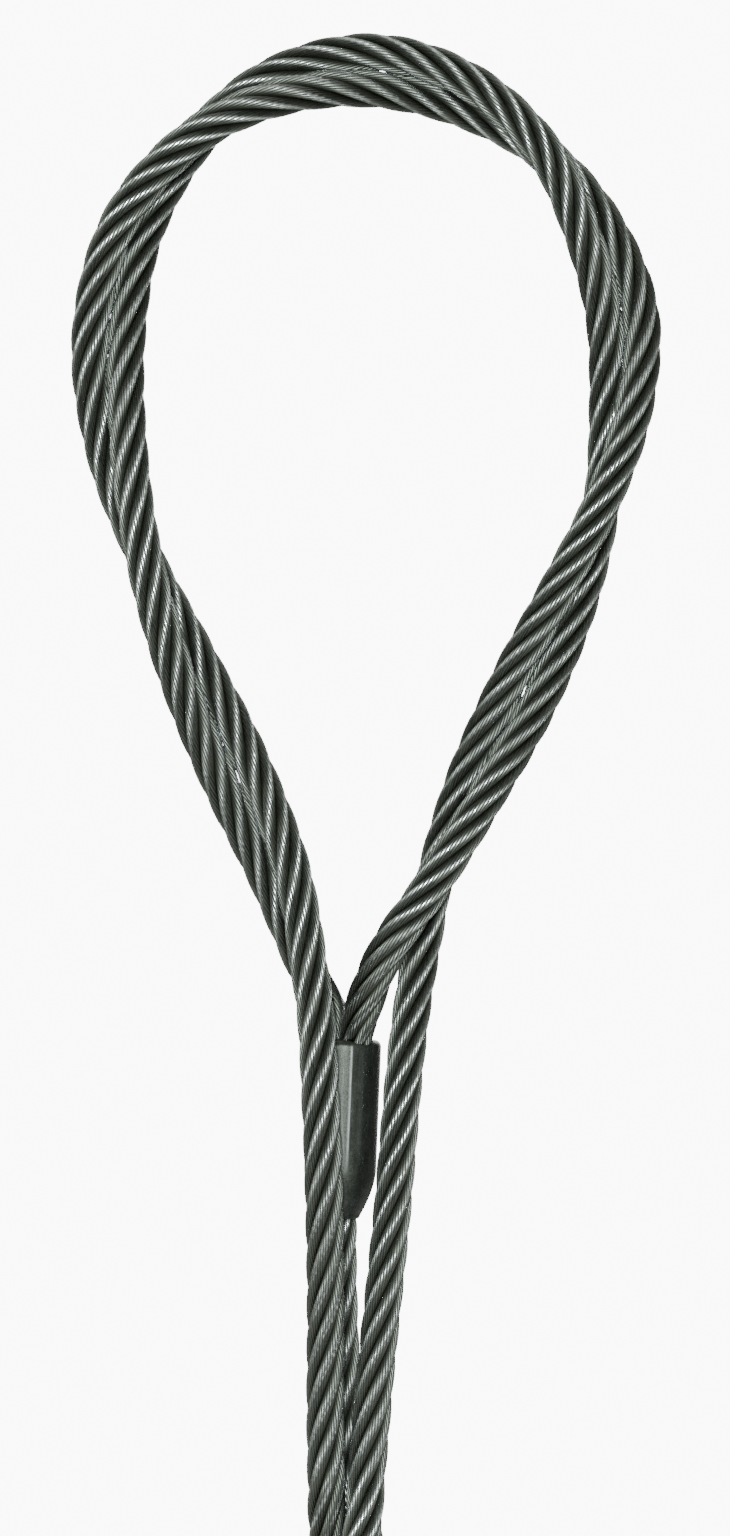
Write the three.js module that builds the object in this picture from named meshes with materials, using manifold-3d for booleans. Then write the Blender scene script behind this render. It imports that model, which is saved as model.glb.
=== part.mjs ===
// Soft eye of a three-part wire rope sling, in millimetres, +Z up.
// Two wire ropes are twisted together round the eye. Rope A runs up the left leg, round the eye
// and down the right leg. Rope B comes up behind them, goes round the eye and turns back into a
// swaged steel sleeve that grips it. The three parts below are bound with seizing wire.
// The origin is the seat inside the eye's crown, where a hook would carry it.
import * as THREE from "three";
import { mergeVertices } from "three/addons/utils/BufferGeometryUtils.js";
import Module from "manifold-3d";

const wasm = await Module();
wasm.setup();

// ---- driving dimensions ----
const ROPE = 9.525; // rope diameter, 3/8 in
const STRANDS = 6;
const LAY = 6.26 * ROPE; // one turn of a strand round its rope
const STRAND_RING = 0.342 * ROPE; // rope axis to strand axis
const STRAND_FLAT = 0.131 * ROPE; // strand axis to a flat of its six-sided section
const CORE_FLAT = 0.12 * ROPE;
const STEPS_PER_LAY = 7;

const SLEEVE_TOP = new THREE.Vector3(-4.8, 5.8, -227.1);
const SLEEVE_FOOT = new THREE.Vector3(-6.6, 5.8, -270.9);
const SLEEVE_RADIUS = 0.93 * ROPE;
const SLEEVE_FOOT_RADIUS = 0.56 * ROPE;
const SLEEVE_SHOULDER = 1.6; // rounding of the mouth's edge
const SLEEVE_TAPER = 12.5; // length of the taper at the foot
const SLEEVE_BULGE = 0.6; // share of the taper's length where it is fullest
const SLEEVE_BEVEL = 0.6; // bevel of the foot's edge
const SLEEVE_SIDES = 24;
const SWAGED = 0.84; // how far the sleeve squeezes the ropes inside it
const SWAGE_START = -220;
const SWAGE_FULL = -227.5;
const ROPE_REACH = 0.487 * ROPE; // rope axis to the flats of the space it takes in the sleeve
const ROPE_SPACE_STEPS = 14;
const FIT = 0.32; // gap between touching pieces

const BUNDLE_TOP = -335; // where the three parts meet and start to twist together
const BUNDLE_END = -366; // where they are cut square
const BUNDLE_RADIUS = 0.59 * ROPE; // bundle axis to each part's axis
const BUNDLE_TURN = 45; // degrees that the parts have turned round each other at the end
const SEIZING_TOP = -352.5;
const SEIZING_END = -362;
const SEIZING_WIRE = 1.3;

const ARC_POINTS = 4; // points on each rounded part of the sleeve's outline
const BAND_POINTS = 6; // points on each rounded part of the seizing's outline
const LENGTH_STEPS = 2000; // steps that a rope's length is measured in
const WELD = 1e-4; // points closer than this are one point

// ---- routes, as [x, y, z] points ----
// The middle line between the two ropes round the eye. They twist round each other by an
// eighth of a turn from each point to the next, and rope A lies in front at the first one.
const EYE_MIDDLE = [
  [-13.1, -212.5], [-21.1, -186], [-32.3, -160], [-43.7, -134.8], [-53.9, -109],
  [-60.7, -82.5], [-62.6, -55.2], [-56.6, -28.2], [-40.6, -6.3], [-21, 5.9],
  [1.8, 9.6], [24, 3.8], [43, -9.5], [55.5, -28.2], [62.8, -50],
  [62.5, -72.7], [58.1, -95.1], [49.5, -119], [38.8, -142], [27.3, -165],
  [16.9, -188.3],
];
const LEFT_LEG = [
  [-9.7, -2.8, -323], [-9.7, -3.4, -309], [-9.6, -4.4, -295], [-9.7, -5.9, -281],
  [-10, -7.1, -266], [-10.4, -7.3, -252], [-10.9, -7.2, -241], [-11.4, -6.6, -230],
  [-12, -5.6, -221],
];
const RIGHT_LEG = [
  [14.6, 4.2, -201], [12.3, 2.2, -214], [10.6, 0.2, -226], [9.2, -1.3, -239],
  [8, -2, -253], [6.8, -2.3, -267], [5.4, -2.6, -281], [3.9, -2.8, -295],
  [2.5, -2.8, -309], [1.3, -2.8, -323],
];
const BACK_LEG = [
  [-5.2, 5.6, -323], [-5.8, 5.6, -309], [-6.3, 5.7, -295], [-6.6, 5.8, -283],
  [-6.6, 5.8, -272.5], [-7.3, 8.1, -262], [-7.6, 9.3, -254], [-6.9, 9.3, -242],
  [-6.2, 9.4, -229], [-9, 7.9, -220],
];
const TURN_BACK = [
  [11.9, -4.8, -195.4], [7.1, -4.2, -202.1], [3.1, -2.6, -209.6], [0.2, -0.5, -217.2],
  [-1.6, 1.2, -223.5], [-2.5, 2.1, -229], [-3.1, 2.2, -240], [-3.7, 2.2, -250],
  [-3.9, 2.2, -255],
];
// Where the two rope spaces in the sleeve run on to: past its foot, past its mouth, and blind.
const BELOW_FOOT = [-6.6, 5.8, -278];
const ABOVE_MOUTH = [-13, 6, -213];
const BLIND_END = [-4.2, 2.2, -256.3];
// The bundle's own turn: [axis x, z, degrees turned since the parts met].
const BUNDLE = [
  [-4.6, BUNDLE_TOP, 0], [-4, -341, 15], [-3.6, -347, 30], [-3.5, -352.5, 43],
  [-3.5, -358, BUNDLE_TURN], [-3.5, -362, BUNDLE_TURN], [-3.5, BUNDLE_END, BUNDLE_TURN],
];
const LEFT_SEAT = 210; // each part's place round the bundle, in degrees
const RIGHT_SEAT = 330;
const BACK_SEAT = 90;

// ---- curves ----

function bundlePoints(seat) {
  return BUNDLE.map(([x, z, turned]) => {
    const angle = THREE.MathUtils.degToRad(seat - turned);
    return new THREE.Vector3(
      x + BUNDLE_RADIUS * Math.cos(angle),
      BUNDLE_RADIUS * Math.sin(angle),
      z,
    );
  });
}

// One rope's points round the eye: side is 1 for rope A and -1 for rope B.
function eyePoints(side) {
  const middle = new THREE.CatmullRomCurve3(
    EYE_MIDDLE.map(([x, z]) => new THREE.Vector3(x, 0, z)),
  );
  return EYE_MIDDLE.map(([x, z], i) => {
    const along = middle.getTangent(i / (EYE_MIDDLE.length - 1));
    const inward = new THREE.Vector3(0, 1, 0).cross(along);
    const turned = (i * Math.PI) / 4;
    return new THREE.Vector3(x, 0, z)
      .addScaledVector(new THREE.Vector3(0, -1, 0), (side * ROPE * Math.cos(turned)) / 2)
      .addScaledVector(inward, (side * ROPE * Math.sin(turned)) / 2);
  });
}

const vectors = (list) => list.map((p) => new THREE.Vector3(...p));

function ropeA() {
  return new THREE.CatmullRomCurve3([
    ...bundlePoints(LEFT_SEAT).reverse(),
    ...vectors(LEFT_LEG),
    ...eyePoints(1),
    ...vectors(RIGHT_LEG),
    ...bundlePoints(RIGHT_SEAT),
  ]);
}

function ropeB() {
  return new THREE.CatmullRomCurve3([
    ...bundlePoints(BACK_SEAT).reverse(),
    ...vectors(BACK_LEG),
    ...eyePoints(-1),
    ...vectors(TURN_BACK),
  ]);
}

// How much a rope is squeezed at a height: 1 in the open, SWAGED inside the sleeve.
function squeezeAt(z) {
  const mouth = THREE.MathUtils.smoothstep(-z, -SWAGE_START, -SWAGE_FULL);
  const foot = THREE.MathUtils.smoothstep(z, SLEEVE_FOOT.z - 3, SLEEVE_FOOT.z + 4);
  return 1 - (1 - SWAGED) * Math.min(mouth, foot);
}

// A line laid round a rope at a distance from its axis. Its sections lie across the rope, and
// their size follows the squeeze, so ExtrudeGeometry sweeps a strand that narrows in the sleeve.
class LaidCurve extends THREE.Curve {
  constructor(rope, ring, phase, squeezed) {
    super();
    this.rope = rope;
    this.ring = ring;
    this.phase = phase;
    this.squeezed = squeezed;
  }

  frame(t) {
    const centre = this.rope.getPointAt(t);
    const along = this.rope.getTangentAt(t);
    const back = new THREE.Vector3(0, 1, 0);
    back.addScaledVector(along, -back.dot(along)).normalize();
    const side = new THREE.Vector3().crossVectors(along, back);
    const angle = this.phase + (2 * Math.PI * t * this.rope.getLength()) / LAY;
    const outward = back
      .clone()
      .multiplyScalar(Math.cos(angle))
      .addScaledVector(side, Math.sin(angle));
    const scale = this.squeezed ? squeezeAt(centre.z) : 1;
    return { centre, along, outward, scale };
  }

  getPoint(t) {
    const { centre, outward, scale } = this.frame(t);
    return centre.addScaledVector(outward, this.ring * scale);
  }

  getPointAt(t) {
    return this.getPoint(t);
  }

  computeFrenetFrames(steps) {
    const frames = { tangents: [], normals: [], binormals: [] };
    for (let i = 0; i <= steps; i++) {
      const { along, outward, scale } = this.frame(i / steps);
      frames.tangents.push(along);
      frames.binormals.push(
        new THREE.Vector3().crossVectors(along, outward).multiplyScalar(scale),
      );
      frames.normals.push(outward.multiplyScalar(scale));
    }
    return frames;
  }
}

// ---- geometry helpers ----

// A regular outline with a flat across +X, given the distance from its middle to a flat.
function flatSided(sides, flat) {
  const corner = flat / Math.cos(Math.PI / sides);
  const points = Array.from({ length: sides }, (_, i) => {
    const angle = ((2 * i + 1) * Math.PI) / sides;
    return new THREE.Vector2(corner * Math.cos(angle), corner * Math.sin(angle));
  });
  return new THREE.Shape(points);
}

function sweep(curve, shape, steps) {
  return new THREE.ExtrudeGeometry(shape, { steps, extrudePath: curve, bevelEnabled: false });
}

function solidOf(geometry) {
  const bare = geometry.clone();
  bare.deleteAttribute("normal");
  bare.deleteAttribute("uv");
  const merged = mergeVertices(bare, WELD);
  const made = new wasm.Mesh({
    numProp: 3,
    vertProperties: merged.attributes.position.array,
    triVerts: new Uint32Array(merged.index.array),
  });
  return new wasm.Manifold(made);
}

function geometryOf(solid) {
  const { vertProperties, triVerts } = solid.getMesh();
  const geometry = new THREE.BufferGeometry();
  geometry.setAttribute("position", new THREE.BufferAttribute(vertProperties, 3));
  geometry.setIndex(new THREE.BufferAttribute(triVerts, 1));
  return geometry;
}

// ---- materials ----

const ropeSteel = () =>
  new THREE.MeshStandardMaterial({ color: 0x5d6462, roughness: 0.42, metalness: 0.9 });
const coreSteel = () =>
  new THREE.MeshStandardMaterial({ color: 0x363a38, roughness: 0.6, metalness: 0.8 });
const sleeveSteel = () =>
  new THREE.MeshStandardMaterial({ color: 0x3c413e, roughness: 0.55, metalness: 0.7 });
const seizingSteel = () =>
  new THREE.MeshStandardMaterial({ color: 0x6e736f, roughness: 0.5, metalness: 0.85 });

const part = new THREE.Group();

function add(name, geometry, material) {
  const mesh = new THREE.Mesh(geometry, material);
  mesh.name = name;
  part.add(mesh);
}

// ---- sub-parts ----

// Six strands laid right-handed round a wire rope core.
function addRope(name, rope, squeezed) {
  rope.arcLengthDivisions = LENGTH_STEPS;
  const steps = Math.round((rope.getLength() / LAY) * STEPS_PER_LAY);
  const strand = flatSided(6, STRAND_FLAT);
  for (let i = 0; i < STRANDS; i++) {
    const phase = (2 * Math.PI * i) / STRANDS;
    const line = new LaidCurve(rope, STRAND_RING, phase, squeezed);
    add(`${name}_strand_${i + 1}`, sweep(line, strand, steps), ropeSteel());
  }
  const axis = new LaidCurve(rope, 0, 0, squeezed);
  add(`${name}_core`, sweep(axis, flatSided(6, CORE_FLAT), steps), coreSteel());
}

// The space one rope takes inside the sleeve, with a little room round it.
function ropeSpace(curve) {
  const reach = ROPE_REACH * SWAGED + FIT;
  return solidOf(sweep(curve, flatSided(2 * STRANDS, reach), ROPE_SPACE_STEPS));
}

// A swaged sleeve: a straight barrel with a rounded mouth, tapered down onto the back leg.
function sleeveBlank() {
  const length = SLEEVE_TOP.distanceTo(SLEEVE_FOOT);
  const outline = new THREE.Path();
  outline.moveTo(0, 0);
  outline.lineTo(SLEEVE_FOOT_RADIUS - SLEEVE_BEVEL, 0);
  outline.lineTo(SLEEVE_FOOT_RADIUS, SLEEVE_BEVEL);
  outline.quadraticCurveTo(
    SLEEVE_RADIUS, SLEEVE_TAPER * SLEEVE_BULGE, SLEEVE_RADIUS, SLEEVE_TAPER,
  );
  outline.lineTo(SLEEVE_RADIUS, length - SLEEVE_SHOULDER);
  outline.absarc(
    SLEEVE_RADIUS - SLEEVE_SHOULDER, length - SLEEVE_SHOULDER, SLEEVE_SHOULDER, 0, Math.PI / 2,
  );
  outline.lineTo(0, length);
  const geometry = new THREE.LatheGeometry(outline.getPoints(ARC_POINTS), SLEEVE_SIDES);
  const axis = SLEEVE_TOP.clone().sub(SLEEVE_FOOT).normalize();
  const upright = new THREE.Quaternion().setFromUnitVectors(new THREE.Vector3(0, 1, 0), axis);
  return geometry.applyQuaternion(upright).translate(...SLEEVE_FOOT.toArray());
}

function addSleeve() {
  const through = new THREE.CatmullRomCurve3(
    vectors([BELOW_FOOT, ...BACK_LEG.slice(4), ABOVE_MOUTH]),
  );
  const turnBack = new THREE.CatmullRomCurve3(
    vectors([...TURN_BACK.slice(3), BLIND_END]),
  );
  const sleeve = solidOf(sleeveBlank())
    .subtract(ropeSpace(through))
    .subtract(ropeSpace(turnBack));
  add("swaged_sleeve", geometryOf(sleeve), sleeveSteel());
}

// Seizing wire round the three parts, as one band that follows their outline.
function seizingOutline(distance) {
  const outline = new THREE.Path();
  for (const seat of [LEFT_SEAT, RIGHT_SEAT, BACK_SEAT]) {
    const angle = THREE.MathUtils.degToRad(seat - BUNDLE_TURN);
    const x = BUNDLE_RADIUS * Math.cos(angle);
    const y = BUNDLE_RADIUS * Math.sin(angle);
    outline.absarc(x, y, distance, angle - Math.PI / 3, angle + Math.PI / 3);
  }
  return outline.getPoints(BAND_POINTS);
}

function addSeizing() {
  const inner = ROPE / 2 + FIT;
  const band = new THREE.Shape(seizingOutline(inner + SEIZING_WIRE));
  band.holes.push(new THREE.Path(seizingOutline(inner).reverse()));
  const height = SEIZING_TOP - SEIZING_END;
  const geometry = new THREE.ExtrudeGeometry(band, { depth: height, bevelEnabled: false });
  const [axisX] = BUNDLE[BUNDLE.length - 1];
  add("seizing_wire", geometry.translate(axisX, 0, SEIZING_END), seizingSteel());
}

addRope("rope_a", ropeA(), false);
addRope("rope_b", ropeB(), true);
addSleeve();
addSeizing();

export default part;
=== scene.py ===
"""The looks of a soft eye in a three-part wire rope sling.

Every strand is built from its outer wires, laid round the same routes as the CAD model. The
swaged sleeve gets its rounded ends and the marks of its die, and the seizing is a wound wire.
"""

import math

import bpy
import numpy as np
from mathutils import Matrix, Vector


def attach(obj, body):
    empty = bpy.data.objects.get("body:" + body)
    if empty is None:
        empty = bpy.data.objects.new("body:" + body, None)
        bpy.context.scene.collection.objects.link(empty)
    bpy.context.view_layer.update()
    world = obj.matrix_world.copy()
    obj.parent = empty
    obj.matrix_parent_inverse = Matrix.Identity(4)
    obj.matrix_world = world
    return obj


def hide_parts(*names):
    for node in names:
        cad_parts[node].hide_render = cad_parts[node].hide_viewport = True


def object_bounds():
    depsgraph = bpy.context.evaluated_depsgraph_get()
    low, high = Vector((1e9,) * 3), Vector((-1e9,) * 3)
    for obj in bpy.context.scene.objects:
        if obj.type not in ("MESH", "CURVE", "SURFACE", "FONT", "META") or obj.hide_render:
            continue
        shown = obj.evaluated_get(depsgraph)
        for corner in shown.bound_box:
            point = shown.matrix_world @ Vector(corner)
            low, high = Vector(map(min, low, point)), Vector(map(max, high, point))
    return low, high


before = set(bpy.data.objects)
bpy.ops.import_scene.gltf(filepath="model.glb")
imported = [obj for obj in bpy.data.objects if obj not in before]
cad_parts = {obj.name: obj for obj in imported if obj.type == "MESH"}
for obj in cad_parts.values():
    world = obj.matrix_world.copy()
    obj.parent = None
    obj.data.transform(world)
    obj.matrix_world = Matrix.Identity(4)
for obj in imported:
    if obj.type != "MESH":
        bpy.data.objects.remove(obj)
cad_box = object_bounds()

MM = 0.001  # routes are in millimetres, as in the CAD source, and meshes in metres

# ---- ropes: lengths in millimetres, as in the next two parts ----
ROPE = 9.525
STRANDS = 6
LAY = 6.26 * ROPE
PAIR_GAP = 0.94 * ROPE  # the two ropes bed into each other a little
BEDDED = 3  # points of the eye over which they come that close
STRAND_RADIUS = 0.162 * ROPE
STRAND_RING = 0.5 * ROPE - STRAND_RADIUS
OUTER_WIRES = 12
WIRE_FLAT = 0.5  # swaging and use press the outer wires a little flat
WIRE_SHARE = math.sin(math.pi / OUTER_WIRES)
WIRE_RADIUS = STRAND_RADIUS * WIRE_SHARE / (1 + WIRE_FLAT * WIRE_SHARE)
WIRE_TURNS_PER_LAY = 3.4  # wires turn back against the strand, nearly in line with the rope
WIRE_STEP = 0.18 * ROPE
WIRE_SIDES = 6
MIDDLE_TONE = 0.3  # tones run from 0 for the dullest wire to 1 for the brightest
CORE_RADIUS = 0.17 * ROPE
CORE_LAY = LAY / 1.4
CORE_STEPS = slice(None, None, 2)  # the core is hidden, so every second step will do
CORE_SIDES = 8
SPAN_POINTS = 80  # points of a curve from one given point to the next
EYE_TURN = math.pi / 4  # the pair turns this much from one point of the eye to the next

# Depths below a rope's outside, in rope diameters, for the painted shade that darkens the
# strands' flanks and valleys (partly real lubricant) and for the wear on the crowns.
DEEP = 0.3
SHALLOW = 0.02

# ---- sleeve ----
SLEEVE_TOP = (-4.8, 5.8, -227.1)
SLEEVE_FOOT = (-6.6, 5.8, -270.9)
SLEEVE_RADIUS = 0.93 * ROPE
SLEEVE_FOOT_RADIUS = 0.56 * ROPE
SLEEVE_SHOULDER = 1.6
SLEEVE_TAPER = 12.5
SLEEVE_BULGE = 0.6
SLEEVE_RIM = 0.7  # rounding of the foot
RIM_POINTS = 7
TAPER_POINTS = 16
STRAIGHT_POINTS = 20
SHOULDER_POINTS = 9
SLEEVE_AROUND = 288
SHARP = 38  # degrees between faces that meet in a sharp edge
SWAGED = 0.84  # a squeezed rope's share of its size
SWAGE_START = -220  # heights where the squeeze starts and is full, at the mouth
SWAGE_FULL = -227.5
FOOT_START = SLEEVE_FOOT[2] - 3  # and at the foot
FOOT_FULL = SLEEVE_FOOT[2] + 4
FIT = 0.2
SPACE_STEPS = 60
SPACE_SIDES = 48
FLASHES = (  # marks of the die, with a highlight painted along them: angle round the sleeve, half width, height, brightness of the painted highlight
    (-78, 0.28, 0.12, 0.45),
    (-60, 0.7, 0.03, 0.12),
)
FLASH_SIDES = (0, 180)  # the back has the same marks as the front
FLASH_FOOT_FADE = (10, 19)  # heights above the foot
FLASH_MOUTH_FADE = (0.4, 2.5)  # distances below the mouth

# ---- bundle and seizing ----
BUNDLE_TOP = -335
BUNDLE_END = -366
BUNDLE_RADIUS = 0.59 * ROPE
BUNDLE_TURN = 45
SEIZING_TOP = -352.5
SEIZING_END = -362
SEIZING_WIRE = 1.15
SEIZING_TURNS = 8
SEIZING_ARC_POINTS = 14
SEIZING_LAP = 8  # points that the winding runs on past its last full turn
SEIZING_SPAN_POINTS = 6
SEIZING_STEPS = 200  # for each turn
SEIZING_SIDES = 12
SEIZING_TONE = 0.6
PIGTAIL = 13  # its height
PIGTAIL_LIFT = 1.5
PIGTAIL_LEAN = 0.9
PIGTAIL_TURNS = 3.2
PIGTAIL_STEPS = 90
PIGTAIL_SIDES = 10
PIGTAIL_TONES = (0.4, 0.7)
PIGTAIL_AWAY = 2.1  # these three are in radii of the seizing wire
PIGTAIL_SPREAD = 0.95
PIGTAIL_WIRE = 0.92

# ---- routes, as in the CAD source ----
EYE_MIDDLE = [
    (-13.1, -212.5), (-21.1, -186), (-32.3, -160), (-43.7, -134.8), (-53.9, -109),
    (-60.7, -82.5), (-62.6, -55.2), (-56.6, -28.2), (-40.6, -6.3), (-21, 5.9),
    (1.8, 9.6), (24, 3.8), (43, -9.5), (55.5, -28.2), (62.8, -50),
    (62.5, -72.7), (58.1, -95.1), (49.5, -119), (38.8, -142), (27.3, -165),
    (16.9, -188.3),
]
LEFT_LEG = [
    (-9.7, -2.8, -323), (-9.7, -3.4, -309), (-9.6, -4.4, -295), (-9.7, -5.9, -281),
    (-10, -7.1, -266), (-10.4, -7.3, -252), (-10.9, -7.2, -241), (-11.4, -6.6, -230),
    (-12, -5.6, -221),
]
RIGHT_LEG = [
    (14.6, 4.2, -201), (12.3, 2.2, -214), (10.6, 0.2, -226), (9.2, -1.3, -239),
    (8, -2, -253), (6.8, -2.3, -267), (5.4, -2.6, -281), (3.9, -2.8, -295),
    (2.5, -2.8, -309), (1.3, -2.8, -323),
]
BACK_LEG = [
    (-5.2, 5.6, -323), (-5.8, 5.6, -309), (-6.3, 5.7, -295), (-6.6, 5.8, -283),
    (-6.6, 5.8, -272.5), (-7.3, 8.1, -262), (-7.6, 9.3, -254), (-6.9, 9.3, -242),
    (-6.2, 9.4, -229), (-9, 7.9, -220),
]
TURN_BACK = [
    (11.9, -4.8, -195.4), (7.1, -4.2, -202.1), (3.1, -2.6, -209.6), (0.2, -0.5, -217.2),
    (-1.6, 1.2, -223.5), (-2.5, 2.1, -229), (-3.1, 2.2, -240), (-3.7, 2.2, -250),
    (-3.9, 2.2, -255),
]
BELOW_FOOT = (-6.6, 5.8, -278)
ABOVE_MOUTH = (-13, 6, -213)
BLIND_END = (-4.2, 2.2, -256.3)
THROUGH_SLEEVE = [BELOW_FOOT, *BACK_LEG[4:], ABOVE_MOUTH]
INTO_SLEEVE = [*TURN_BACK[3:], BLIND_END]
BUNDLE = [  # its middle, the height, and how far the three parts have turned there
    (-4.6, BUNDLE_TOP, 0), (-4, -341, 15), (-3.6, -347, 30), (-3.5, -352.5, 43),
    (-3.5, -358, BUNDLE_TURN), (-3.5, -362, BUNDLE_TURN), (-3.5, BUNDLE_END, BUNDLE_TURN),
]
LEFT_SEAT = 210
RIGHT_SEAT = 330
BACK_SEAT = 90

# ---- finishes ----
# the darkest colour of each finish serves both for the lubricant streaks and for the painted
# shade on the flanks and in the valleys
ROPE_FINISH = {
    "worn": (0.9, 0.95, 0.94),
    "plain": (0.17, 0.187, 0.172),
    "oil_and_shade": (0.095, 0.104, 0.08),
    "dust": (0.16, 0.17, 0.14),
}
CORE_FINISH = {
    "worn": (0.3, 0.3, 0.3),
    "plain": (0.2, 0.21, 0.2),
    "oil_and_shade": (0.05, 0.053, 0.04),
    "dust": (0.08, 0.08, 0.06),
}
SEIZING_FINISH = {
    "worn": (0.7, 0.72, 0.7),
    "plain": (0.42, 0.43, 0.41),
    "oil_and_shade": (0.1, 0.1, 0.09),
    "dust": (0.25, 0.25, 0.22),
}
DULL_WIRE = 0.7  # the darkest wire's share of the plain colour
TONE_SHIFT = (7, 0, 90)  # gives each wire its own place in the noise

# ---- camera and stage, in metres ----
VIEW_CENTRE = (0, 0, -0.1607)
VIEW_HEIGHT = 0.3751
CAMERA_AWAY = 1.5
SENSOR = 36  # millimetres
FAR_CLIP = 20
LIGHTS = (  # name, place, size, watts, colour
    ("key", (-0.06, -1.55, -0.06), (0.15, 0.15), 26, (0.93, 1, 1)),
    ("front", (-0.35, -1.5, 0.5), (1.3, 1.3), 1.8, (0.97, 1, 0.97)),
    ("left", (-1.3, 0.0, 0.1), (0.5, 1.0), 3, (1, 1, 1)),
    ("right", (1.3, 0.0, 0.0), (0.4, 0.9), 2.2, (1, 1, 1)),
    ("top", (0.1, 0.2, 1.0), (1.2, 1.0), 4.5, (1, 1, 1)),
    ("back", (0.3, 1.4, 0.1), (0.9, 0.9), 14, (1, 1, 1)),
)
BACKDROP_STRENGTH = 10
ROOM_COLOUR = (1, 1, 0.86, 1)
ROOM_STRENGTH = 0.14
FLOOR_RADIUS = 0.38
FLOOR_SIDES = 128
FLOOR_BELOW = 0.036
FLOOR_COLOUR = (0.8, 0.8, 0.79, 1)
FLOOR_ROUGHNESS = 0.9


def make_camera():
    """Looks straight at the front, far enough off to flatten the view."""
    data = bpy.data.cameras.new("camera")
    data.sensor_fit = "VERTICAL"
    data.sensor_height = SENSOR
    data.lens = SENSOR * CAMERA_AWAY / VIEW_HEIGHT
    data.clip_end = FAR_CLIP
    camera = bpy.data.objects.new("camera", data)
    camera.location = Vector(VIEW_CENTRE) + Vector((0, -CAMERA_AWAY, 0))
    camera.rotation_euler = (math.pi / 2, 0, 0)
    bpy.context.scene.collection.objects.link(camera)
    bpy.context.scene.camera = camera


# ---- curves ----


def unit(vectors):
    return vectors / np.linalg.norm(vectors, axis=-1, keepdims=True)


def square_to(along, vectors):
    """The unit vectors square to along that point the way the given ones do."""
    return unit(vectors - along * (along * vectors).sum(1, keepdims=True))


def catmull_rom(points, per_span=SPAN_POINTS):
    """Points along the centripetal Catmull-Rom curve through the given ones."""
    p = np.array(points, float)
    p = np.vstack([2 * p[0] - p[1], p, 2 * p[-1] - p[-2]])
    p0, p1, p2, p3 = p[:-3, None], p[1:-2, None], p[2:-1, None], p[3:, None]

    def knot(a, b):
        return np.linalg.norm(b - a, axis=-1, keepdims=True) ** 0.5

    d0, d1, d2 = knot(p0, p1), knot(p1, p2), knot(p2, p3)
    m1 = ((p1 - p0) / d0 - (p2 - p0) / (d0 + d1) + (p2 - p1) / d1) * d1
    m2 = ((p2 - p1) / d1 - (p3 - p1) / (d1 + d2) + (p3 - p2) / d2) * d1
    t = (np.arange(per_span) / per_span)[None, :, None]
    made = (
        p1
        + m1 * t
        + (3 * (p2 - p1) - 2 * m1 - m2) * t**2
        + (2 * (p1 - p2) + m1 + m2) * t**3
    )
    return np.vstack([made.reshape(-1, p.shape[1]), p[-2]])


def length_of(points):
    return float(np.linalg.norm(np.diff(points, axis=0), axis=1).sum())


def distances(points):
    """How far along the line each of its points lies."""
    return np.concatenate([[0], np.cumsum(np.linalg.norm(np.diff(points, axis=0), axis=1))])


def evenly(points, steps):
    """The same line in equal steps."""
    far = distances(points)
    at = np.linspace(0, far[-1], steps + 1)
    return np.stack([np.interp(at, far, points[:, k]) for k in range(3)], axis=1)


def smoothstep(x, low, high):
    t = np.clip((x - low) / (high - low), 0, 1)
    return t * t * (3 - 2 * t)


# ---- routes ----


def bundle_points(seat):
    """One part's points through the seizing, where the three parts turn round each other."""
    made = []
    for x, z, turned in BUNDLE:
        angle = math.radians(seat - turned)
        made.append((x + BUNDLE_RADIUS * math.cos(angle), BUNDLE_RADIUS * math.sin(angle), z))
    return made


def eye_points(side):
    """One rope's points round the eye: side is 1 for rope A and -1 for rope B."""
    middle = np.array([(x, 0, z) for x, z in EYE_MIDDLE], float)
    along = unit(np.gradient(catmull_rom(middle), axis=0)[::SPAN_POINTS])
    inward = np.cross((0, 1, 0), along)
    number = np.arange(len(middle))
    turned = (number * EYE_TURN)[:, None]
    shift = np.cos(turned) * np.array([(0, -1, 0)]) + np.sin(turned) * inward
    from_end = np.minimum(number, number[::-1])
    gap = ROPE - (ROPE - PAIR_GAP) * smoothstep(from_end, 0, BEDDED)
    return [tuple(p) for p in middle + side * gap[:, None] / 2 * shift]


def rope_a_route():
    return [
        *reversed(bundle_points(LEFT_SEAT)),
        *LEFT_LEG,
        *eye_points(1),
        *RIGHT_LEG,
        *bundle_points(RIGHT_SEAT),
    ]


def rope_b_route():
    return [
        *reversed(bundle_points(BACK_SEAT)),
        *BACK_LEG,
        *eye_points(-1),
        *TURN_BACK,
    ]


def squeeze_at(z):
    """How much the sleeve squeezes a rope at a height: 1 in the open."""
    mouth = smoothstep(-z, -SWAGE_START, -SWAGE_FULL)
    foot = smoothstep(z, FOOT_START, FOOT_FULL)
    return 1 - (1 - SWAGED) * np.minimum(mouth, foot)


class Rope:
    """A rope's axis in even steps, with a frame across it at each one."""

    def __init__(self, route, squeezed):
        fine = catmull_rom(route)
        self.length = length_of(fine)
        self.steps = round(self.length / WIRE_STEP)
        self.centre = evenly(fine, self.steps)
        self.far = np.linspace(0, self.length, self.steps + 1)
        self.along = unit(np.gradient(self.centre, axis=0))
        self.back = square_to(self.along, np.array([0.0, 1.0, 0.0]))
        self.side = np.cross(self.along, self.back)
        if squeezed:
            self.scale = squeeze_at(self.centre[:, 2])[:, None]
        else:
            self.scale = np.ones((self.steps + 1, 1))

    def laid(self, ring, phase, lay=LAY):
        """A line laid round the rope, with the outward direction at each step."""
        angle = (phase + 2 * math.pi * self.far / lay)[:, None]
        outward = np.cos(angle) * self.back + np.sin(angle) * self.side
        return self.centre + ring * self.scale * outward, outward

    def depth_of(self, points):
        """How far below the rope's outside points lie, in rope diameters."""
        from_axis = np.linalg.norm(points - self.centre[:, None], axis=-1)
        return 0.5 - from_axis / (ROPE * self.scale)


# ---- meshes ----


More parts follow.
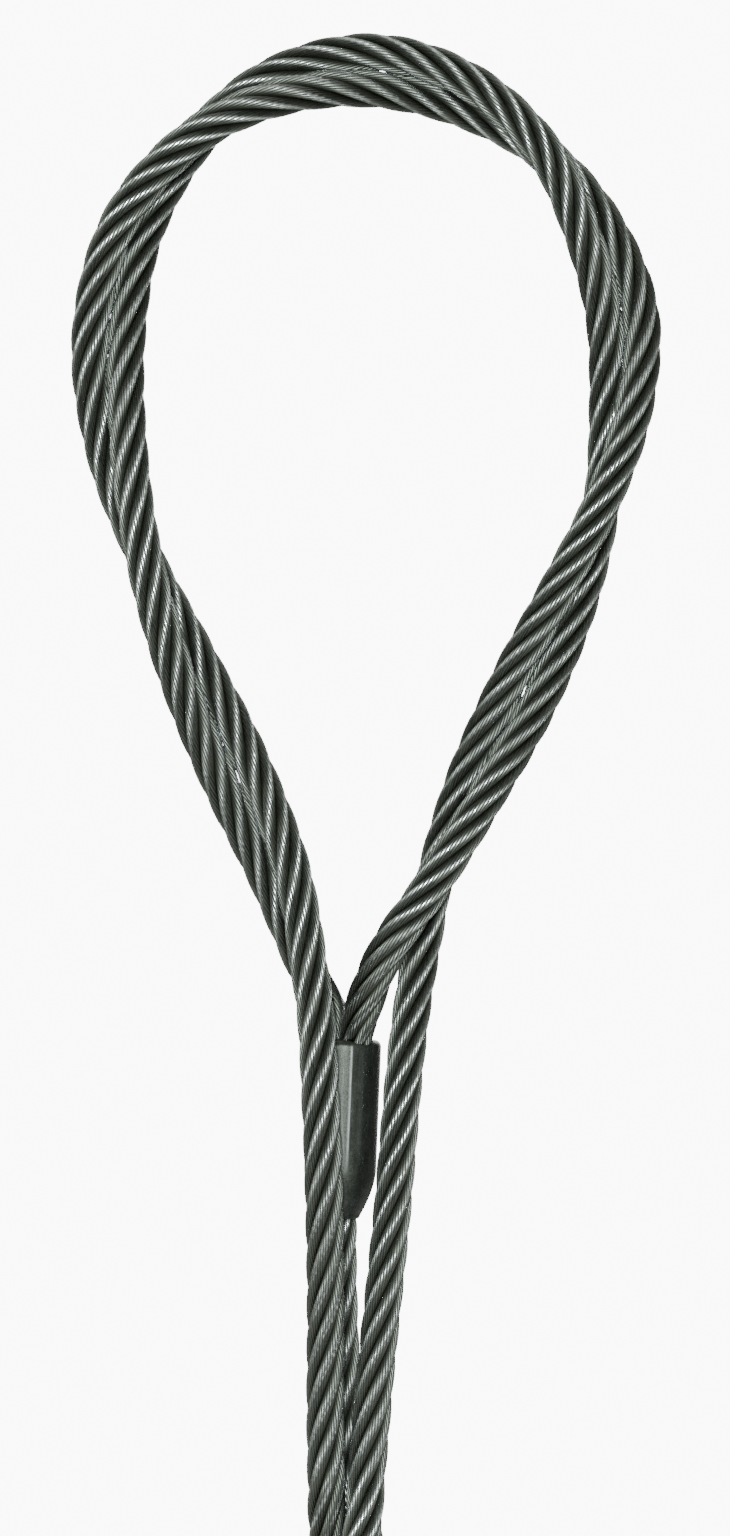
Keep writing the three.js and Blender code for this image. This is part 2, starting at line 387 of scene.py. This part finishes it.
class Tubes:
    """Collects closed round tubes into one mesh, with a few values at each vertex."""

    VALUES = {
        "depth": ("FLOAT", "value"),
        "tone": ("FLOAT", "value"),
        "lay": ("FLOAT_VECTOR", "vector"),
        "across": ("FLOAT_VECTOR", "vector"),
    }

    def __init__(self):
        self.points, self.quads, self.caps = [], [], []
        self.values = {name: [] for name in self.VALUES}
        self.count = 0

    def add(self, centres, outward, radius, sides, depth=0.0, tone=0.5, flat=1.0):
        """radius is a number, or one for each centre. depth is a number, or a function that
        gives one for each point of each ring."""
        rings = len(centres)
        along = unit(np.gradient(centres, axis=0))
        outward = square_to(along, outward)
        across = np.cross(along, outward)
        turn = 2 * math.pi * np.arange(sides) / sides
        cos = np.cos(turn)[None, :, None]
        sin = np.sin(turn)[None, :, None]
        spoke = flat * cos * outward[:, None] + sin * across[:, None]
        radius = np.broadcast_to(np.asarray(radius, float), (rings,))
        points = centres[:, None] + radius[:, None, None] * spoke
        lay = np.empty((rings, sides, 3))
        lay[:, :, 0:1] = cos
        lay[:, :, 1:2] = sin
        lay[:, :, 2] = distances(centres)[:, None]
        deep = depth(points) if callable(depth) else np.full((rings, sides), depth)
        self.points.append(points.reshape(-1, 3))
        self.values["depth"].append(deep.reshape(-1))
        self.values["tone"].append(np.full(rings * sides, tone))
        self.values["lay"].append(lay.reshape(-1, 3) + tone * np.array(TONE_SHIFT))
        self.values["across"].append(np.cross(along[:, None], spoke).reshape(-1, 3))
        self.add_faces(rings, sides)

    def add_faces(self, rings, sides):
        """The quads between the rings, and a cap at each end."""
        low = self.count + np.arange(rings - 1)[:, None] * sides
        here = np.arange(sides)[None, :]
        after = (here + 1) % sides
        high = low + sides
        quads = np.stack([low + here, low + after, high + after, high + here], axis=-1)
        self.quads.append(quads.reshape(-1, 4))
        last = self.count + (rings - 1) * sides
        self.caps.append(self.count + np.arange(sides)[::-1])
        self.caps.append(last + np.arange(sides))
        self.count += rings * sides

    def mesh(self, name):
        quads = np.vstack(self.quads)
        sizes = np.concatenate([np.full(len(quads), 4), [len(cap) for cap in self.caps]])
        made = bpy.data.meshes.new(name)
        made.vertices.add(self.count)
        made.vertices.foreach_set("co", (np.vstack(self.points) * MM).ravel())
        made.loops.add(int(sizes.sum()))
        made.loops.foreach_set("vertex_index", np.concatenate([quads.ravel(), *self.caps]))
        made.polygons.add(len(sizes))
        made.polygons.foreach_set("loop_start", np.concatenate([[0], np.cumsum(sizes)[:-1]]))
        made.update(calc_edges=True)
        made.polygons.foreach_set("use_smooth", np.arange(len(sizes)) < len(quads))
        for value, (kind, field) in self.VALUES.items():
            layer = made.attributes.new(value, kind, "POINT")
            layer.data.foreach_set(field, np.concatenate(self.values[value]).ravel())
        made.validate()
        return made


def piece(name, mesh, material, slot, *nodes):
    """A visible piece that rides on the part's one body and stands for the CAD nodes."""
    made = bpy.data.objects.new(name, mesh)
    bpy.context.scene.collection.objects.link(made)
    made.data.materials.append(material)
    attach(made, "root")
    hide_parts(*nodes)
    return made


# ---- materials ----


def shade(value):
    """A colour with its alpha, from a colour or from one number for a grey."""
    colour = (value,) * 3 if isinstance(value, (int, float)) else value
    return (*colour, 1)


class Nodes:
    """Short names for the few node kinds that the materials use."""

    def __init__(self, name):
        self.material = bpy.data.materials.new(name)
        self.material.use_nodes = True
        self.tree = self.material.node_tree
        self.shader = self.tree.nodes["Principled BSDF"]

    def new(self, kind, **settings):
        node = self.tree.nodes.new(kind)
        for key, value in settings.items():
            setattr(node, key, value)
        return node

    def link(self, a, b):
        self.tree.links.new(a, b)

    def attribute(self, name, output="Fac"):
        return self.new("ShaderNodeAttribute", attribute_name=name).outputs[output]

    def position(self):
        return self.new("ShaderNodeTexCoord").outputs["Object"]

    def stretched(self, vector, scale):
        node = self.new("ShaderNodeMapping")
        node.inputs["Scale"].default_value = scale
        self.link(vector, node.inputs["Vector"])
        return node.outputs["Vector"]

    def noise(self, vector, scale, detail, rough):
        node = self.new("ShaderNodeTexNoise")
        node.inputs["Scale"].default_value = scale
        node.inputs["Detail"].default_value = detail
        node.inputs["Roughness"].default_value = rough
        self.link(vector, node.inputs["Vector"])
        return node.outputs["Fac"]

    def ramp(self, value, *stops):
        """stops are (position, grey or colour)."""
        node = self.new("ShaderNodeValToRGB")
        elements = node.color_ramp.elements
        while len(elements) < len(stops):
            elements.new(0.5)
        for element, (place, colour) in zip(elements, stops):
            element.position = place
            element.color = shade(colour)
        self.link(value, node.inputs["Fac"])
        return node.outputs["Color"]

    def mix(self, share, a, b, blend="MIX"):
        """share is a number or an output, and a and b may be greys or colours too."""
        node = self.new("ShaderNodeMix", data_type="RGBA", blend_type=blend)
        for value, socket in ((share, node.inputs[0]), (a, node.inputs[6]), (b, node.inputs[7])):
            if isinstance(value, bpy.types.NodeSocket):
                self.link(value, socket)
            elif socket.type == "RGBA":
                socket.default_value = shade(value)
            else:
                socket.default_value = value
        return node.outputs[2]

    def bump(self, height, strength, distance):
        node = self.new("ShaderNodeBump")
        node.inputs["Strength"].default_value = strength
        node.inputs["Distance"].default_value = distance
        self.link(height, node.inputs["Height"])
        self.link(node.outputs["Normal"], self.shader.inputs["Normal"])


def wire_steel(name, finish):
    """Drawn wire: rubbed bright on the crowns, with an oily film over it, and a painted shade,
    partly real lubricant, that darkens the strands' flanks and the valleys between them.
    """
    n = Nodes(name)
    depth = n.attribute("depth")
    along = n.attribute("lay", "Vector")
    smears = n.noise(n.position(), 260, detail=4, rough=0.6)
    drawn = n.noise(n.stretched(along, (1.1, 1.1, 0.2)), 1.2, detail=2, rough=0.5)
    scratches = n.noise(n.stretched(along, (5, 5, 0.3)), 2.5, detail=3, rough=0.6)
    # painted shade: the colour darkens the deeper a point lies below the rope's outside, over
    # the strands' flanks and in the valleys; partly real lubricant
    shade_and_oil = n.ramp(depth, (0.035, 0), (0.08, 0.5), (0.13, 1))
    crowns = n.ramp(depth, (0.004, 1), (0.009, 0.3), (0.014, 0))
    rubbed = n.mix(1.0, crowns, n.ramp(smears, (0.42, 1), (0.6, 0.12)), "MULTIPLY")

    dull = tuple(c * DULL_WIRE for c in finish["plain"])
    steel = n.mix(n.attribute("tone"), dull, finish["plain"])
    steel = n.mix(n.ramp(smears, (0.45, 0), (0.7, 0.7)), steel, finish["dust"])
    steel = n.mix(n.ramp(drawn, (0.5, 0), (0.75, 0.6)), steel, finish["oil_and_shade"])
    # the painted shade darkens the colour on the flanks and in the valleys
    colour = n.mix(shade_and_oil, steel, finish["oil_and_shade"])
    n.link(n.mix(rubbed, colour, finish["worn"]), n.shader.inputs["Base Color"])

    rough = n.ramp(smears, (0.4, 0.34), (0.6, 0.48))
    rough = n.mix(shade_and_oil, rough, 0.5)
    n.link(n.mix(rubbed, rough, 0.17), n.shader.inputs["Roughness"])
    n.shader.inputs["Metallic"].default_value = 1.0
    n.shader.inputs["Anisotropic"].default_value = 0.7
    n.link(n.attribute("across", "Vector"), n.shader.inputs["Tangent"])
    n.bump(scratches, 0.08, 0.00003)
    return n.material


def sleeve_steel():
    """Forged dark steel, dull from the die, with fine drawn marks, a thin oily film, and a
    highlight painted along the die's marks.
    """
    n = Nodes("sleeve_steel")
    place = n.position()
    blotch = n.noise(place, 190, detail=5, rough=0.62)
    marks = n.noise(n.stretched(place, (1, 1, 0.07)), 1100, detail=3, rough=0.55)
    grain = n.noise(place, 3200, detail=3, rough=0.65)
    colour = n.ramp(blotch, (0.3, (0.05, 0.055, 0.047)), (0.7, (0.1, 0.11, 0.098)))
    colour = n.mix(n.ramp(grain, (0.38, 0.75), (0.55, 0)), colour, (0.03, 0.033, 0.026))
    colour = n.mix(n.ramp(marks, (0.56, 0), (0.74, 0.45)), colour, (0.17, 0.185, 0.178))
    # painted highlight: a light stripe along the die's marks, on the front and the back
    colour = n.mix(n.attribute("flash_highlight"), colour, (0.42, 0.45, 0.44))
    n.link(colour, n.shader.inputs["Base Color"])
    n.shader.inputs["Metallic"].default_value = 0.8
    n.link(n.ramp(blotch, (0.3, 0.38), (0.75, 0.55)), n.shader.inputs["Roughness"])
    n.bump(n.mix(0.5, grain, marks), 0.5, 0.00015)
    return n.material


# ---- ropes ----


def strand_mesh(name, rope, phase, tones):
    """One strand: its outer wires round a filled middle."""
    axis, outward = rope.laid(STRAND_RING, phase)
    along = unit(np.gradient(axis, axis=0))
    normal = square_to(along, outward)
    across = np.cross(along, normal)
    scale = rope.scale[:, 0]
    ring = STRAND_RADIUS - WIRE_FLAT * WIRE_RADIUS
    radius = WIRE_RADIUS * scale
    tubes = Tubes()
    for k, tone in enumerate(tones):
        turn = 2 * math.pi * (k / OUTER_WIRES - WIRE_TURNS_PER_LAY * rope.far / LAY)
        turn = turn[:, None]
        spoke = np.cos(turn) * normal + np.sin(turn) * across
        centres = axis + ring * rope.scale * spoke
        tubes.add(centres, spoke, radius, WIRE_SIDES, rope.depth_of, tone, WIRE_FLAT)
    # the filled middle lies deep, so it takes the full painted shade
    tubes.add(axis, normal, ring * scale, OUTER_WIRES, DEEP, MIDDLE_TONE)
    return tubes.mesh(name)


def core_mesh(name, rope):
    """The wire rope core: small strands round one, laid with the rope."""
    small = CORE_RADIUS / 3
    radius = small * rope.scale[CORE_STEPS, 0]
    tubes = Tubes()
    # the core lies deep, so it takes the full painted shade
    for k in range(STRANDS):
        line, outward = rope.laid(2 * small, 2 * math.pi * k / STRANDS, CORE_LAY)
        tubes.add(line[CORE_STEPS], outward[CORE_STEPS], radius, CORE_SIDES, DEEP, k / STRANDS)
    tubes.add(rope.centre[CORE_STEPS], rope.back[CORE_STEPS], radius, CORE_SIDES, DEEP, 0.5)
    return tubes.mesh(name)


def make_rope(letter, route, squeezed, rng, steel, core_steel):
    """The strands and core of one rope."""
    rope = Rope(route, squeezed)
    for i in range(STRANDS):
        tones = rng.uniform(0, 1, OUTER_WIRES)
        name = f"wires_{letter}{i + 1}"
        mesh = strand_mesh(name, rope, 2 * math.pi * i / STRANDS, tones)
        piece(name, mesh, steel, "rope_steel", f"rope_{letter}_strand_{i + 1}")
    name = f"core_{letter}"
    core = piece(name, core_mesh(name, rope), core_steel, "core_steel", f"rope_{letter}_core")


# ---- sleeve ----


def sleeve_outline():
    """The sleeve's half section from the foot up, as (radius, height) in millimetres."""
    length = float(np.linalg.norm(np.subtract(SLEEVE_TOP, SLEEVE_FOOT)))
    made = []
    for t in np.linspace(0, math.pi / 2, RIM_POINTS):
        in_from_side = SLEEVE_RIM * (1 - math.sin(t))
        made.append((SLEEVE_FOOT_RADIUS - in_from_side, SLEEVE_RIM * (1 - math.cos(t))))
    for t in np.linspace(0, 1, TAPER_POINTS)[1:]:
        left = (1 - t) ** 2
        radius = left * SLEEVE_FOOT_RADIUS + (1 - left) * SLEEVE_RADIUS
        middle = 2 * t * (1 - t) * SLEEVE_BULGE * SLEEVE_TAPER
        made.append((radius, left * SLEEVE_RIM + middle + t * t * SLEEVE_TAPER))
    shoulder = length - SLEEVE_SHOULDER
    for height in np.linspace(SLEEVE_TAPER, shoulder, STRAIGHT_POINTS)[1:]:
        made.append((SLEEVE_RADIUS, height))
    for t in np.linspace(0, math.pi / 2, SHOULDER_POINTS)[1:]:
        in_from_side = SLEEVE_SHOULDER * (1 - math.cos(t))
        made.append((SLEEVE_RADIUS - in_from_side, shoulder + SLEEVE_SHOULDER * math.sin(t)))
    return made


def flash_at(angle, radius):
    """How far the die's marks stand out at an angle, and how bright the highlight painted along
    them is.
    """
    raised, bright = 0, 0
    for side in FLASH_SIDES:
        for degrees, half_width, height, brightness in FLASHES:
            off = (angle - math.radians(degrees + side) + math.pi) % (2 * math.pi) - math.pi
            near = math.exp(-((abs(off) * radius / half_width) ** 2))
            raised += height * near
            bright += brightness * near
    return raised, bright


def sleeve_body():
    """The sleeve before its rope spaces are cut: a lathe body with the die's marks and the
    highlight painted along them.
    """
    outline = sleeve_outline()
    length = outline[-1][1]
    points, flash_highlight, faces = [], [], []
    for radius, height in outline:
        wane = smoothstep(height, *FLASH_FOOT_FADE)
        wane = wane * smoothstep(length - height, *FLASH_MOUTH_FADE)
        for j in range(SLEEVE_AROUND):
            angle = 2 * math.pi * j / SLEEVE_AROUND
            raised, bright = flash_at(angle, radius)
            r = radius + wane * raised
            points.append((r * math.cos(angle), r * math.sin(angle), height))
            # the painted highlight along the marks, faded towards the ends
            flash_highlight.append(wane * bright)
    for i in range(len(outline) - 1):
        low, high = i * SLEEVE_AROUND, (i + 1) * SLEEVE_AROUND
        for j in range(SLEEVE_AROUND):
            k = (j + 1) % SLEEVE_AROUND
            faces.append((low + j, low + k, high + k, high + j))
    faces.append(tuple(reversed(range(SLEEVE_AROUND))))
    faces.append(tuple(high + j for j in range(SLEEVE_AROUND)))
    axis = Vector(SLEEVE_TOP) - Vector(SLEEVE_FOOT)
    upright = Vector((0, 0, 1)).rotation_difference(axis)
    placed = [(upright @ Vector(p) + Vector(SLEEVE_FOOT)) * MM for p in points]
    mesh = bpy.data.meshes.new("sleeve")
    mesh.from_pydata(placed, [], faces)
    layer = mesh.attributes.new("flash_highlight", "FLOAT", "POINT")
    layer.data.foreach_set("value", flash_highlight)
    return mesh


def rope_space(name, route):
    """The space a swaged rope takes inside the sleeve."""
    line = evenly(catmull_rom(route), SPACE_STEPS)
    back = np.tile((0.0, 1.0, 0.0), (len(line), 1))
    tubes = Tubes()
    tubes.add(line, back, ROPE / 2 * SWAGED + FIT, SPACE_SIDES)
    made = bpy.data.objects.new(name, tubes.mesh(name))
    bpy.context.scene.collection.objects.link(made)
    return made


def cut(target, cutters):
    """Cuts the cutters out of the target's mesh and removes them."""
    for cutter in cutters:
        knife = target.modifiers.new("cut", "BOOLEAN")
        knife.operation = "DIFFERENCE"
        knife.solver = "EXACT"
        knife.object = cutter
    shown = target.evaluated_get(bpy.context.evaluated_depsgraph_get())
    mesh = bpy.data.meshes.new_from_object(shown)
    target.modifiers.clear()
    target.data = mesh
    for cutter in cutters:
        bpy.data.objects.remove(cutter)
    mesh.polygons.foreach_set("use_smooth", np.ones(len(mesh.polygons), bool))
    mesh.set_sharp_from_angle(angle=math.radians(SHARP))


def make_sleeve(steel):
    """The swaged sleeve, with the spaces of the two ropes that run into it."""
    sleeve = piece("sleeve", sleeve_body(), steel, "sleeve_steel", "swaged_sleeve")
    through = rope_space("through", THROUGH_SLEEVE)
    turned_back = rope_space("turned_back", INTO_SLEEVE)
    cut(sleeve, [through, turned_back])


# ---- seizing ----


def seizing_outline(distance):
    """Once round the three parts at a distance from their axes, as x and y."""
    made = []
    for seat in (RIGHT_SEAT, BACK_SEAT + 360, LEFT_SEAT + 360):
        middle = math.radians(seat - BUNDLE_TURN)
        x, y = BUNDLE_RADIUS * math.cos(middle), BUNDLE_RADIUS * math.sin(middle)
        for t in middle + np.linspace(-math.pi / 3, math.pi / 3, SEIZING_ARC_POINTS):
            made.append((x + distance * math.cos(t), y + distance * math.sin(t)))
    return np.array(made)


def make_seizing(steel):
    """Tight turns of soft wire, whose two ends are twisted together."""
    wire = SEIZING_WIRE / 2
    outline = seizing_outline(ROPE / 2 + wire)
    loop = np.vstack([np.tile(outline, (SEIZING_TURNS, 1)), outline[:SEIZING_LAP]])
    drop = np.linspace(SEIZING_TOP - wire, SEIZING_END + wire, len(loop))
    middle = np.array([BUNDLE[-1][0], 0, 0])
    wound = catmull_rom(np.column_stack([loop, drop]) + middle, SEIZING_SPAN_POINTS)
    line = evenly(wound, SEIZING_STEPS * SEIZING_TURNS)
    outward = unit((line - middle) * (1, 1, 0))
    tubes = Tubes()
    tubes.add(line, outward, wire, SEIZING_SIDES, SHALLOW, SEIZING_TONE)
    add_pigtail(tubes, (line[0] + line[-1]) / 2, outward[0], wire)
    piece("seizing", tubes.mesh("seizing"), steel, "seizing_steel", "seizing_wire")


def add_pigtail(tubes, beside, outward, wire):
    """The wire's ends, twisted together and laid up along the winding."""
    foot = beside + outward * PIGTAIL_AWAY * wire
    foot[2] = SEIZING_END + PIGTAIL_LIFT
    t = np.linspace(0, 1, PIGTAIL_STEPS)
    lean = PIGTAIL_LEAN * np.sin(math.pi * t)
    spine = foot + np.outer(t * PIGTAIL, (0, 0, 1)) + np.outer(lean, outward)
    across = np.cross((0, 0, 1), outward)
    for k, tone in enumerate(PIGTAIL_TONES):
        turn = (2 * math.pi * PIGTAIL_TURNS * t + math.pi * k)[:, None]
        spoke = np.cos(turn) * outward + np.sin(turn) * across
        end = spine + PIGTAIL_SPREAD * wire * spoke
        tubes.add(end, spoke, PIGTAIL_WIRE * wire, PIGTAIL_SIDES, SHALLOW, tone)


# ---- stage ----


def make_world():
    """White behind the object, and a dim studio that only its surfaces see."""
    world = bpy.data.worlds.new("studio")
    world.use_nodes = True
    tree = world.node_tree
    seen = tree.nodes["Background"]
    seen.inputs["Color"].default_value = (1, 1, 1, 1)
    seen.inputs["Strength"].default_value = BACKDROP_STRENGTH
    room = tree.nodes.new("ShaderNodeBackground")
    room.inputs["Color"].default_value = ROOM_COLOUR
    room.inputs["Strength"].default_value = ROOM_STRENGTH
    ray = tree.nodes.new("ShaderNodeLightPath")
    either = tree.nodes.new("ShaderNodeMixShader")
    tree.links.new(ray.outputs["Is Camera Ray"], either.inputs["Fac"])
    tree.links.new(room.outputs["Background"], either.inputs[1])
    tree.links.new(seen.outputs["Background"], either.inputs[2])
    tree.links.new(either.outputs["Shader"], tree.nodes["World Output"].inputs["Surface"])
    bpy.context.scene.world = world


def make_light(name, place, size, power, colour):
    """A soft rectangular light, aimed at the middle of the view."""
    data = bpy.data.lights.new(name, "AREA")
    data.shape = "RECTANGLE"
    data.size, data.size_y = size
    data.energy = power
    data.color = colour
    light = bpy.data.objects.new(name, data)
    light.location = place
    aim = Vector(VIEW_CENTRE) - Vector(place)
    light.rotation_euler = aim.to_track_quat("-Z", "Y").to_euler()
    bpy.context.scene.collection.objects.link(light)


def make_floor():
    """A round pale floor under the hanging part."""
    low = cad_box[0][2] - FLOOR_BELOW
    turn = [2 * math.pi * k / FLOOR_SIDES for k in range(FLOOR_SIDES)]
    rim = [(FLOOR_RADIUS * math.cos(t), FLOOR_RADIUS * math.sin(t), low) for t in turn]
    mesh = bpy.data.meshes.new("floor")
    mesh.from_pydata(rim, [], [tuple(range(FLOOR_SIDES))])
    n = Nodes("floor")
    n.shader.inputs["Base Color"].default_value = FLOOR_COLOUR
    n.shader.inputs["Roughness"].default_value = FLOOR_ROUGHNESS
    mesh.materials.append(n.material)
    floor = bpy.data.objects.new("floor", mesh)
    bpy.context.scene.collection.objects.link(floor)


def main():
    make_camera()
    rng = np.random.default_rng(7)
    rope_wire = wire_steel("rope_steel", ROPE_FINISH)
    core_wire = wire_steel("core_steel", CORE_FINISH)
    make_rope("a", rope_a_route(), False, rng, rope_wire, core_wire)
    make_rope("b", rope_b_route(), True, rng, rope_wire, core_wire)
    make_sleeve(sleeve_steel())
    make_seizing(wire_steel("seizing_steel", SEIZING_FINISH))
    make_world()
    for light in LIGHTS:
        make_light(*light)
    make_floor()


main()
